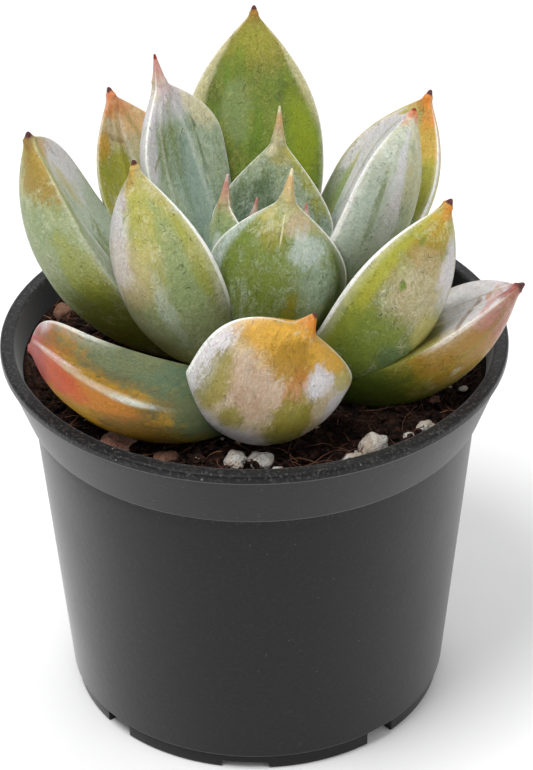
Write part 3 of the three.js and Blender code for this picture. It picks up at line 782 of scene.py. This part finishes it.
def leafSkin(name, look, seed):
    paint = Surface(name + "_skin")
    flat = paint.attribute("leafFlat")
    share = paint.attribute("leafShare")
    across, along, up = (paint.part(share, axis) for axis in range(3))
    toTip = paint.attribute("tipGap", "Fac")
    foldLine = paint.attribute("leafFold", "Fac")
    noises = {}
    for kind, (seeded, shift, drawnOut, grain) in skinNoises.items():
        place = [seed * one + other for one, other in zip(seeded, shift)]
        noises[kind] = paint.grain(paint.stretched(flat, (1, drawnOut, 1), place), *grain) - 0.5

    def layer(kind, start):
        for noiseKind, amount in skinLayers[kind].items():
            start = start + noises[noiseKind] * amount
        return start

    def step(value, kind):
        return paint.step(value, *skinSteps[kind])

    # Skin from foot to tip, darker towards the foot, partly the leaf's own colour and partly painted
    # shade where the leaves crowd, with darker clouds
    stops = [(at, tints[tint]) for at, tint in zip(skinForm["stops"], look["skin"])]
    skin = paint.ramp(layer("place", along), stops)
    skin = paint.blend(step(noises["shade"], "dark"), skin, tints[look["dark"]])
    # Bloom thickness and tint, and the patches in the skin and the bloom
    bloom = layer("bloom", look["cover"])
    bloomTint = tints[look["bloom"]]
    upper = step(up, "upperFace")
    faces = {"upper": upper, "under": 1 - upper}
    patchEdge = layer("patchEdge", 0)
    for spot in look["patches"]:
        own = paint.node("Mapping", {
            "Vector": share, "Location": (*spot["at"], 0),
            "Rotation": (0, 0, math.radians(spot["turn"])),
            "Scale": (*spot["half"], skinForm["throughLeaf"]),
        }, vector_type="TEXTURE")
        away = paint.node("VectorMath", {0: own}, "Value", operation="LENGTH")
        inside = paint.step(away + patchEdge * spot["ragged"], 1 + spot["soft"], 1 - spot["soft"])
        if spot["face"]:
            inside = inside * faces[spot["face"]]
        painted = inside * spot["strength"]
        skin = paint.blend(painted, skin, tints[spot["tint"]])
        if spot["bloom"] > 0:
            bloomTint = paint.blend(painted, bloomTint, tints[spot["tint"]])
        if spot["bloom"]:
            bloom = bloom + inside * spot["bloom"]
    bloom = step(layer("bloomPowder", bloom), "bloom")
    colour = paint.blend(bloom * skinForm["bloomStrength"], skin, bloomTint)
    # Painted highlight along the backs of the folds and painted shade in their grooves
    colour = paint.blend(step(foldLine, "ridge"), colour, tints["rim"])
    colour = paint.blend(step(foldLine, "groove"), colour, tints[look["dark"]])
    # Blush, the pale thin margins with painted highlight beside them, then the point itself
    blush = paint.step(
        layer("blushEdge", toTip), skinForm["blushFade"] * look["blushReach"], 0, 0,
        skinForm["blushStrength"])
    colour = paint.blend(blush, colour, tints[look["blush"]])
    edge = 1 - abs(across)
    # Margins: the leaf's own pale edge line plus a soft band of painted highlight, each leaf's rims
    # weighting them towards its lit side
    rim = (step(edge, "rimLine") + step(edge, "rimGlow")) * step(toTip, "rimToPoint")
    rim = rim * paint.step(across, -0.5, 0.5, *look["rims"])
    rim = rim * paint.step(along, look["rimFoot"] - skinForm["rimFade"], look["rimFoot"])
    colour = paint.blend(rim, colour, tints["rim"])
    point = paint.step(
        layer("pointEdge", toTip), look["pointReach"], skinForm["pointEdge"] * look["pointReach"])
    colour = paint.blend(point, colour, tints[look["point"]])
    # Grain: every part of the skin is a little lighter or darker
    speckle = layer("speckle", 1)
    colour = paint.node("VectorMath", {0: colour, "Scale": speckle}, operation="SCALE")
    # Small scars, scratches through the bloom, and flecks of painted highlight
    scars = step(paint.cells(flat, skinForm["scarScale"]), "scar") * step(noises["shade"], "scarred")
    colour = paint.blend(scars * skinForm["scarStrength"], colour, tints["deep"])
    scratches = step(abs(noises["scratch"]), "scratch") * step(noises["streak"], "scratched")
    colour = paint.blend(scratches * skinForm["scratchStrength"], colour, tints["deep"])
    colour = paint.blend(step(layer("highlightFlecks", 0), "highlightFlecks"), colour, tints["rim"])
    height = layer("relief", bloom * skinForm["bloomHeight"])
    height = height - paint.highest(scratches, scars) * skinForm["scarDepth"]
    return paint.finish(
        colour, step(bloom, "roughness"), paint.relief(height, skinForm["relief"]),
        Subsurface_Weight=0.15, Subsurface_Scale=0.003, IOR=1.42, Specular_IOR_Level=0.5)


# Each leaf's slot name and family of looks; the leaves that aren't named here are inner ones
agedLeaves = ("leaf_front_low", "leaf_right_low", "leaf_left_low")
outerLeaves = (
    "leaf_left", "leaf_left_front", "leaf_right_front", "leaf_back", "leaf_left_back",
    "leaf_right_back", "leaf_back_left_low", "leaf_back_right_low", "leaf_back_low",
)
seedStep = 17.3  # each leaf's noise starts this much further on
for number, (name, leaf) in enumerate(leaves.items()):
    seed = seedStep * (number + 1)
    if name in agedLeaves:
        slot, family = "aged_leaf", "outer"
    elif name in outerLeaves:
        slot, family = "outer_leaf", "outer"
    else:
        slot, family = "inner_leaf", "inner"
    look = {**leafLooks[family], **leafLooks.get(name, {})}
    newPiece(name + "_blade", leafMesh(leaf, seed), leafSkin(name, look, seed), name)
print("leaves made:", len(leaves))


# Stem
stemTones = {"green": tone(112, 124, 70), "brown": tone(138, 118, 78), "scar": tone(92, 84, 52)}


def stemSkin():
    paint = Surface("stem_bark")
    place = paint.place()
    patches = paint.grain(place, 260, 4, 0.6)
    rings = paint.grain(paint.stretched(place, (1, 1, 6)), 180, 3)
    colour = paint.blend(paint.step(patches, 0.4, 0.65), stemTones["green"], stemTones["brown"])
    colour = paint.blend(paint.step(rings, 0.55, 0.7), colour, stemTones["scar"])
    return paint.finish(colour, 0.75, paint.relief(patches + rings, 0.3))


def stemMesh():
    outline = [(0, stem["footZ"])]
    for i in range(stem["rows"] + 1):
        rise = i / stem["rows"]
        z = mix(stem["footZ"], stem["topZ"], rise)
        scar = stem["scarDepth"] * math.sin(math.pi * stem["scarRings"] * rise) ** 2
        outline.append((stemRadius(z) - scar - stem["skinGap"], z))
    outline.append((0, stem["topZ"]))
    bm = bmesh.new()
    turnedSolid(bm, outline, stem["steps"])
    bmesh.ops.translate(bm, verts=bm.verts, vec=(*stem["centre"], 0))
    return bm


newPiece("stem_core", stemMesh(), stemSkin(), "stem")
print("stem made")


# Pot: heights from its foot, radii of its outside, as the solid has them
pot = {
    "height": 83.5, "rimRadius": 52.5, "rimInner": 49.6, "lipHeight": 2.2, "lipStep": 0.5,
    "lipRise": 0.3, "collarHeight": 14.3, "collarFootRadius": 47.6, "collarRise": 1,
    "creaseDrop": 0.5, "bodyTopRadius": 46.3, "bodyFootRadius": 40.4, "wall": 1.2,
    "footHeight": 3.4, "footRadius": 39.5, "footStep": 0.5, "footWall": 2.6,
    "floorThickness": 1.5, "floorCorner": 1.5, "steps": 288, "arcSteps": 5, "sharpAngle": 42,
}
notches = {
    "count": 8, "firstAzimuth": -94, "wide": (10, 1.7), "narrow": (7, 3.1), "through": 8,
    "fillet": 0.5, "filletSteps": 3,
}
drainHoles = {"count": 8, "radius": 3, "ringRadius": 27, "sides": 32, "through": 20}
# The glint tint and its shares on the rim and elsewhere paint small highlights into the plastic
plastic = {
    "dark": tone(8, 8, 11), "light": tone(12, 12, 16), "dust": tone(150, 146, 142),
    "paintedGlint": tone(206, 206, 204), "settledDust": 0.16, "looseDust": 0.02, "creaseDust": 0.5,
    "rimGlints": 0.4, "loosePaintedGlints": 0.08, "relief": 0.05,
}
lipZ = pot["height"] - pot["lipHeight"]
collarZ = pot["height"] - pot["collarHeight"]
floorZ = pot["footHeight"] + pot["floorThickness"]
collarInner = pot["collarFootRadius"] - pot["wall"]
bodyTopInner = pot["bodyTopRadius"] - pot["wall"]
bodyFootInner = pot["bodyFootRadius"] - pot["wall"]
footInner = pot["footRadius"] - pot["footWall"]
# Corners are (radius, z, fillet). A fillet above 0 becomes a short arc.
potCorners = [
    (0, pot["footHeight"], 0),
    (footInner, pot["footHeight"], 0.4),
    (footInner, 0, 0.4),
    (pot["footRadius"], 0, 0.6),
    (pot["footRadius"], pot["footHeight"], 0.25),
    (pot["bodyFootRadius"], pot["footHeight"] + pot["footStep"], 0.3),
    (pot["bodyTopRadius"], collarZ - pot["creaseDrop"], 0.3),
    (pot["collarFootRadius"], collarZ, 0.55),
    (pot["rimRadius"] - pot["lipStep"], lipZ, 0.25),
    (pot["rimRadius"], lipZ + pot["lipRise"], 0.35),
    (pot["rimRadius"], pot["height"], 0.8),
    (pot["rimInner"], pot["height"], 0.7),
    (collarInner, collarZ + pot["collarRise"], 0.8),
    (bodyTopInner, collarZ - pot["creaseDrop"], 0.4),
    (bodyFootInner, floorZ + pot["floorCorner"], 1),
    (bodyFootInner - pot["floorCorner"], floorZ, 0.8),
    (0, floorZ, 0),
]


def roundedCorners(corners, arcSteps):
    outline = []
    for i, (radius, z, fillet) in enumerate(corners):
        here = Vector((radius, z))
        if fillet == 0:
            outline.append(tuple(here))
            continue
        before = (Vector(corners[i - 1][:2]) - here).normalized()
        after = (Vector(corners[i + 1][:2]) - here).normalized()
        start, end = here + before * fillet, here + after * fillet
        for k in range(arcSteps + 1):
            t = k / arcSteps
            outline.append(tuple(start * (1 - t) ** 2 + here * 2 * t * (1 - t) + end * t * t))
    return outline


def isTopEdge(edge):
    # True for an edge of a notch's block that runs outwards along its top
    a, b = (vert.co for vert in edge.verts)
    return abs(a.y - b.y) < 1e-6 and abs(a.z - b.z) < 1e-6 and a.z > 0


def potCutter():
    bm = bmesh.new()
    for i in range(notches["count"]):
        width, height = notches["narrow"] if i % 2 else notches["wide"]
        block = bmesh.ops.create_cube(bm, size=1)["verts"]
        bmesh.ops.scale(bm, vec=(notches["through"], width, 2 * height), verts=block)
        edges = [e for e in bm.edges if all(v in block for v in e.verts) and isTopEdge(e)]
        bmesh.ops.translate(bm, vec=(pot["footRadius"] - pot["footWall"] / 2, 0, 0), verts=block)
        azimuth = notches["firstAzimuth"] + 360 / notches["count"] * i
        bmesh.ops.rotate(bm, matrix=turn(azimuth), verts=block)
        bmesh.ops.bevel(
            bm, geom=edges, affect="EDGES", offset=notches["fillet"],
            segments=notches["filletSteps"], profile=0.5, material=-1)
    for i in range(drainHoles["count"]):
        drill = bmesh.ops.create_cone(
            bm, cap_ends=True, segments=drainHoles["sides"], radius1=drainHoles["radius"],
            radius2=drainHoles["radius"], depth=drainHoles["through"])["verts"]
        bmesh.ops.translate(bm, vec=(drainHoles["ringRadius"], 0, 0), verts=drill)
        bmesh.ops.rotate(bm, matrix=turn(360 / drainHoles["count"] * (i + 0.5)), verts=drill)
    bmesh.ops.scale(bm, vec=(metres, metres, metres), verts=bm.verts)
    bmesh.ops.recalc_face_normals(bm, faces=bm.faces)
    return newObject("pot_cutter", finishedMesh("pot_cutter", bm))


def applyCut(piece, cutter):
    cut = piece.modifiers.new("cut", "BOOLEAN")
    cut.operation = "DIFFERENCE"
    cut.solver = "EXACT"
    cut.object = cutter
    result = evaluatedMesh(piece)
    piece.modifiers.clear()
    old = piece.data
    piece.data = result
    bpy.data.meshes.remove(old)
    result.name = piece.name
    bpy.data.objects.remove(cutter)


def potPlastic():
    paint = Surface("matt_pot_plastic")
    place = paint.place()
    z = paint.part(place, "Z")

    def between(low, high):
        return paint.step(z, low * metres, high * metres)

    wide = paint.grain(place, 26, 3, 0.5)
    fine = paint.grain(place, 900, 3, 0.6)
    colour = paint.blend(paint.step(wide, 0.35, 0.7), plastic["dark"], plastic["light"])
    # Pale dust settles on the rim and in the corner under the collar
    onRim = between(pot["height"] - 3, pot["height"] - 0.3)
    inCrease = between(collarZ - 2.7, collarZ - 0.4) * between(collarZ + 1.2, collarZ)
    settled = paint.highest(onRim, inCrease * plastic["creaseDust"])
    dust = paint.step(paint.grain(place, 1500, 3, 0.7), 0.5, 0.68)
    dust = dust * (settled * plastic["settledDust"] + plastic["looseDust"])
    colour = paint.blend(dust, colour, plastic["dust"])
    # Painted glints: small pale specks of painted highlight on the plastic, most of them on the rim
    paintedGlints = paint.step(paint.cells(place, 420), 0.1, 0.05) * paint.step(wide, 0.5, 0.6)
    paintedGlints = paintedGlints * (onRim * plastic["rimGlints"] + plastic["loosePaintedGlints"])
    colour = paint.blend(paintedGlints, colour, plastic["paintedGlint"])
    roughness = paint.step(wide * 0.7 + fine * 0.3, 0.3, 0.7, 0.4, 0.52)
    normal = paint.relief(fine * 0.6 + wide * 0.8, plastic["relief"])
    return paint.finish(
        colour, roughness, normal, IOR=1.5, Specular_IOR_Level=0.2, Sheen_Weight=0.34,
        Sheen_Roughness=0.4)


potBody = bmesh.new()
turnedSolid(potBody, roundedCorners(potCorners, pot["arcSteps"]), pot["steps"])
potPiece = newPiece("pot_moulding", potBody, potPlastic(), "pot")
applyCut(potPiece, potCutter())
potPiece.data.set_sharp_from_angle(angle=math.radians(pot["sharpAngle"]))
print("pot made")


# Potting mix: a bed with a lumpy top, and crumbs, coir fibres and small grit lying on it
mixBed = {
    "belowRim": 6, "bump": 0.6, "rings": 96, "steps": 220, "gap": 0.15, "lump": 1.5,
    "lumpScale": 0.55, "swell": 0.6, "swellScale": 0.28, "edgeFade": 1.5,
    "waves": (5.3, 6.1, 7.9), "slantWave": 0.6,
}
crumbs = {"count": 2300, "sizes": (0.6, 2.6), "seed": 7, "subdivisions": 1}
grit = {"count": 30, "sizes": (0.8, 2.2), "seed": 23, "subdivisions": 2}
crumbForm = {
    "tilt": 0.6, "long": (0.8, 1.5), "wide": (0.7, 1.1), "flat": 0.8, "flatter": (0.6, 1),
    "sink": 0.25, "lift": 0.35, "bump": 0.35, "bumpScale": 1.2, "smallOnes": 2.5, "edgeGap": 0.2,
}
fibres = {
    "count": 520, "seed": 41, "radius": 0.1, "steps": (6, 12), "stride": (0.8, 1.3),
    "hop": (0.1, 1.6), "lift": 0.55, "bend": 0.45, "taper": (1.2, 0.5), "uneven": (0.8, 1.2),
    "edgeGap": 1,
}
mixTop = pot["height"] - mixBed["belowRim"]
collarFootZ = collarZ + pot["collarRise"]
mixRise = (mixTop - collarFootZ) / (pot["height"] - collarFootZ)
mixRadius = mix(collarInner, pot["rimInner"], mixRise) - mixBed["gap"]


def mixHeight(x, y):
    # Slow waves across the mix, the same as on the solid
    alongX, alongY, slant = mixBed["waves"]
    waves = math.sin(x / alongX + 1) * math.cos(y / alongY - 2)
    waves += mixBed["slantWave"] * math.sin((x - 2 * y) / slant)
    return mixTop + mixBed["bump"] * waves


def bedMesh():
    gap = mixBed["gap"]
    outline = [
        (0, floorZ + gap),
        (bodyFootInner - pot["floorCorner"] - gap, floorZ + gap),
        (bodyFootInner - gap, floorZ + pot["floorCorner"] + gap),
        (bodyTopInner - gap, collarZ - pot["creaseDrop"]),
        (collarInner - gap, collarFootZ),
    ]
    rings = mixBed["rings"]
    outline += [(mixRadius * i / rings, mixTop) for i in range(rings, -1, -1)]
    bm = bmesh.new()
    turnedSolid(bm, outline, mixBed["steps"])
    for vert in bm.verts:
        x, y, z = vert.co
        toEdge = mixRadius - math.hypot(x, y)
        if z < mixTop - 0.01 or toEdge < 0.01:
            continue
        lumps = noise.fractal(Vector((x, y, 0)) * mixBed["lumpScale"], 1, 2, 4)
        lumps += mixBed["swell"] * abs(noise.noise(Vector((x, y, 9)) * mixBed["swellScale"]))
        fade = smoothStep(toEdge, 0, mixBed["edgeFade"])
        vert.co.z = mixHeight(x, y) + mixBed["lump"] * lumps * fade
    return bm


def scattered(draw, edge):
    # A point anywhere on the mix, as often near its edge as near its middle
    reach = edge * math.sqrt(draw.random())
    azimuth = draw.uniform(0, 2 * math.pi)
    return reach * math.cos(azimuth), reach * math.sin(azimuth)


def crumbMesh(kind):
    draw = random.Random(kind["seed"])
    low, high = kind["sizes"]
    form = crumbForm
    edge = mixRadius - high / 2 - form["edgeGap"]
    bm = bmesh.new()
    for _ in range(kind["count"]):
        x, y = scattered(draw, edge)
        size = mix(low, high, draw.random() ** form["smallOnes"]) / 2
        spin = Matrix.Rotation(draw.uniform(0, math.pi), 3, "Z")
        spin = spin @ Matrix.Rotation(draw.uniform(-form["tilt"], form["tilt"]), 3, "X")
        crumb = bmesh.ops.create_icosphere(
            bm, subdivisions=kind["subdivisions"], radius=size)["verts"]
        stretch = Vector((
            draw.uniform(*form["long"]), draw.uniform(*form["wide"]),
            form["flat"] * draw.uniform(*form["flatter"])))
        for vert in crumb:
            spot = vert.co / size * form["bumpScale"] + Vector((x, y, 0))
            vert.co = spin @ (vert.co * (1 + form["bump"] * noise.noise(spot)) * stretch)
        z = mixHeight(x, y) + form["lift"] + size * (form["flat"] - form["sink"])
        bmesh.ops.translate(bm, verts=crumb, vec=(x, y, z))
    return bm


def fibreMesh():
    draw = random.Random(fibres["seed"])
    curve = bpy.data.curves.new("coir", "CURVE")
    curve.dimensions = "3D"
    curve.bevel_depth = fibres["radius"]
    curve.bevel_resolution = 1
    curve.use_fill_caps = True
    edge = mixRadius - fibres["edgeGap"]
    for _ in range(fibres["count"]):
        point = Vector(scattered(draw, edge))
        heading = draw.uniform(0, 2 * math.pi)
        steps = draw.randint(*fibres["steps"])
        stride = draw.uniform(*fibres["stride"])
        hop = draw.uniform(*fibres["hop"])
        line = curve.splines.new("POLY")
        line.points.add(steps - 1)
        for k in range(steps):
            if point.length > edge:
                heading += math.pi
                point = point.normalized() * edge
            share = k / (steps - 1)
            z = mixHeight(point.x, point.y) + fibres["lift"] + hop * math.sin(math.pi * share)
            line.points[k].co = (point.x, point.y, z, 1)
            line.points[k].radius = mix(*fibres["taper"], share) * draw.uniform(*fibres["uneven"])
            heading += draw.uniform(-fibres["bend"], fibres["bend"])
            point += Vector((math.cos(heading), math.sin(heading))) * stride
    holder = newObject("coir", curve)
    bm = bmesh.new()
    bm.from_mesh(evaluatedMesh(holder))
    bmesh.ops.remove_doubles(bm, verts=bm.verts, dist=1e-4)
    bmesh.ops.recalc_face_normals(bm, faces=bm.faces)
    bpy.data.objects.remove(holder)
    return bm


# Finishes of the mix: peat and coir from dark to light, and each kind of grit's two shades and pits
mixTones = {
    "peat": ((0.34, tone(6, 4, 4)), (0.5, tone(24, 15, 12)), (0.62, tone(60, 38, 28)),
             (0.75, tone(20, 12, 9))),
    "peatCrumb": tone(78, 50, 36), "peatStrand": tone(110, 68, 44),
    "coir": ((0.35, tone(34, 20, 15)), (0.55, tone(92, 56, 38)), (0.72, tone(150, 104, 70))),
}
gritTones = {
    "perlite": (tone(206, 200, 190), tone(190, 176, 160), tone(120, 96, 78)),
    "pale": (tone(196, 194, 188), tone(176, 162, 146), tone(116, 92, 74)),
    "pink": (tone(196, 164, 148), tone(168, 118, 98), tone(112, 74, 58)),
    "brown": (tone(128, 92, 72), tone(98, 64, 50), tone(54, 36, 28)),
}
gritSeeds = {"perlite": 3, "pale": 1, "pink": 5, "brown": 9}


def peatSkin():
    paint = Surface("peat_and_coir")
    place = paint.place()
    clods = paint.grain(place, 420, 4, 0.65)
    fine = paint.grain(place, 2200, 4, 0.7)
    strands = paint.grain(paint.stretched(place, (1, 5, 1)), 500, 3, 0.6, 1.5)
    colour = paint.ramp(clods, mixTones["peat"])
    colour = paint.blend(paint.step(fine, 0.52, 0.74, 0, 0.8), colour, mixTones["peatCrumb"])
    colour = paint.blend(paint.step(strands, 0.6, 0.68, 0, 0.7), colour, mixTones["peatStrand"])
    normal = paint.relief(clods + fine * 0.6, 1.1)
    return paint.finish(colour, 0.95, normal, Specular_IOR_Level=0.15)


def coirSkin():
    paint = Surface("coir_fibre")
    place = paint.place()
    colour = paint.ramp(paint.grain(place, 150, 3), mixTones["coir"])
    return paint.finish(colour, 0.85, paint.relief(paint.grain(place, 3000, 2), 0.05))


def gritSkin(kind):
    pale, warm, dark = gritTones[kind]
    seed = gritSeeds[kind]
    paint = Surface(kind if kind == "perlite" else kind + "_grit")
    place = paint.stretched(paint.place(), (1, 1, 1), (seed, seed, 0))
    cloud = paint.grain(place, 260, 4, 0.6)
    pits = paint.cells(place, 1600)
    fine = paint.grain(place, 2600, 4, 0.7)
    colour = paint.blend(paint.step(cloud, 0.38, 0.62), pale, warm)
    colour = paint.blend(paint.step(fine, 0.52, 0.7, 0, 0.5), colour, dark)
    colour = paint.blend(paint.step(pits, 0.28, 0.12, 0, 0.5), colour, dark)
    height = paint.step(pits, 0.1, 0.5, 0, 0.7) + fine
    return paint.finish(colour, 0.85, paint.relief(height, 0.25))


peat = peatSkin()
newPiece("mix_bed", bedMesh(), peat, "potting_mix")
newPiece("mix_crumbs", crumbMesh(crumbs), peat, smooth=False)
newPiece("mix_coir", fibreMesh(), coirSkin())
newPiece("mix_grit", crumbMesh(grit), gritSkin("perlite"), smooth=False)
print("potting mix made")


# Stones: place, length, width, height, and the turn of the longest side, as the solids have them
stones = {
    "stone_pink": {"at": (-27.3, -33.1), "size": (8, 6.5, 6), "turn": 25, "kind": "pink"},
    "stone_chip": {"at": (-17.5, -38.5), "size": (5.4, 3.6, 3), "turn": 10, "kind": "brown"},
    "stone_front_left": {"at": (-3.9, -38.9), "size": (5.4, 4.4, 3.6), "turn": 70, "kind": "pale"},
    "stone_front": {"at": (1.2, -38.4), "size": (5.4, 4.4, 3.6), "turn": 0, "kind": "pale"},
    "stone_front_small": {"at": (4.5, -41.3), "size": (2.6, 2.2, 2.2), "turn": 0, "kind": "pale"},
    "stone_right_large": {"at": (23.5, -34.3), "size": (6.4, 5.6, 6), "turn": 60, "kind": "pale"},
    "stone_right_flat": {"at": (19.4, -38.8), "size": (5, 3.2, 2.4), "turn": 20, "kind": "pale"},
    "stone_right_small": {"at": (34.2, -27.6), "size": (4, 3, 2.6), "turn": 30, "kind": "pale"},
    "stone_right_tiny": {"at": (30.8, -30.6), "size": (2.4, 2.2, 2), "turn": 0, "kind": "pale"},
    "stone_right_brown": {"at": (36.5, -18.4), "size": (3, 2.8, 2.4), "turn": 40, "kind": "brown"},
    "stone_left_back": {"at": (-40.5, 17), "size": (5, 4.4, 4.6), "turn": 80, "kind": "brown"},
}
stoneForm = {
    "subdivisions": 5, "facet": 0.12, "bump": 0.1, "bumpScale": 2.2, "pit": 0.03, "pitScale": 8,
    "shrink": 0.02, "lift": 0.12,
}
stoneSkins = {kind: gritSkin(kind) for kind in ("pale", "pink", "brown")}


def stoneMesh(stone):
    x, y = stone["at"]
    form = stoneForm
    bm = bmesh.new()
    bmesh.ops.create_icosphere(bm, subdivisions=form["subdivisions"], radius=1)
    for vert in bm.verts:
        place = vert.co.copy()
        facet = 1 + form["facet"] * math.sin(5 * place.x + x) * math.cos(4 * place.y - y)
        facet += form["bump"] * noise.noise(place * form["bumpScale"] + Vector((x, y, 0)))
        facet += form["pit"] * noise.noise(place * form["pitScale"] + Vector((y, x, 3)))
        vert.co = place * (facet - form["shrink"])
    bmesh.ops.scale(bm, vec=[length / 2 for length in stone["size"]], verts=bm.verts)
    bmesh.ops.rotate(bm, matrix=turn(stone["turn"]), verts=bm.verts)
    z = mixHeight(x, y) + form["lift"] * stone["size"][2]
    bmesh.ops.translate(bm, vec=(x, y, z), verts=bm.verts)
    return bm


for name, stone in stones.items():
    newPiece(name + "_grit", stoneMesh(stone), stoneSkins[stone["kind"]], name)
print("stones made:", len(stones))


# Room: a pale floor, soft lights and the camera. Floor and lights are in metres, and a light has
# its place, size and power.
room = {
    "floorSize": 4.0, "floorTones": (tone(246, 246, 247), tone(250, 250, 250)),
    "skyStrength": 0.5, "lightsAim": (0, 0, 0.09),
    "lights": {
        "keyLight": ((-0.35, -0.35, 1.15), 0.6, 10.4),
        "fillLight": ((0.8, -0.5, 0.7), 0.8, 2),
        "backLight": ((0.1, 0.7, 1.1), 0.9, 4.5),
    },
    "target": (2.43, 0, 70.57), "distance": 650, "lookDown": 32.85, "roll": -0.52, "lens": 145.5,
}


def makeFloor():
    paint = Surface("pale_floor")
    speckle = paint.grain(paint.place(), 40, 2)
    material = paint.finish(paint.blend(speckle, *room["floorTones"]), 0.9)
    bm = bmesh.new()
    bmesh.ops.create_grid(bm, x_segments=1, y_segments=1, size=room["floorSize"] / 2)
    mesh = finishedMesh("floor", bm)
    mesh.materials.append(material)
    newObject("floor", mesh)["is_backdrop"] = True


def makeLight(name, place, size, power):
    light = bpy.data.lights.new(name, "AREA")
    light.shape = "DISK"
    light.size = size
    light.energy = power
    lamp = newObject(name, light)
    lamp.location = place
    aim = Vector(room["lightsAim"]) - Vector(place)
    lamp.rotation_euler = aim.to_track_quat("-Z", "Y").to_euler()


def makeSky():
    world = bpy.data.worlds.new("studio")
    bpy.context.scene.world = world
    world.use_nodes = True
    background = world.node_tree.nodes["Background"]
    background.inputs["Color"].default_value = (1, 1, 1, 1)
    background.inputs["Strength"].default_value = room["skyStrength"]
    bpy.context.scene.view_settings.view_transform = "Standard"


def makeCamera():
    camera = bpy.data.cameras.new("camera")
    camera.lens = room["lens"]
    camera.sensor_width = 36
    camera.clip_start = 0.05
    down = math.radians(room["lookDown"])
    roll = math.radians(room["roll"])
    back = Vector((0, -math.cos(down), math.sin(down)))
    level, upright = Vector((1, 0, 0)), Vector((0, math.sin(down), math.cos(down)))
    right = level * math.cos(roll) + upright * math.sin(roll)
    place = (Vector(room["target"]) + back * room["distance"]) * metres
    axes = Matrix((right, back.cross(right), back)).transposed()
    holder = newObject("camera", camera)
    holder.matrix_world = Matrix.Translation(place) @ axes.to_4x4()
    bpy.context.scene.camera = holder


makeFloor()
for name, (place, size, power) in room["lights"].items():
    makeLight(name, place, size, power)
makeSky()
makeCamera()
print("room made")

sizes = {"cad": cadBounds, "visual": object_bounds()}
sizes = {name: [list(corner) for corner in box] for name, box in sizes.items()}
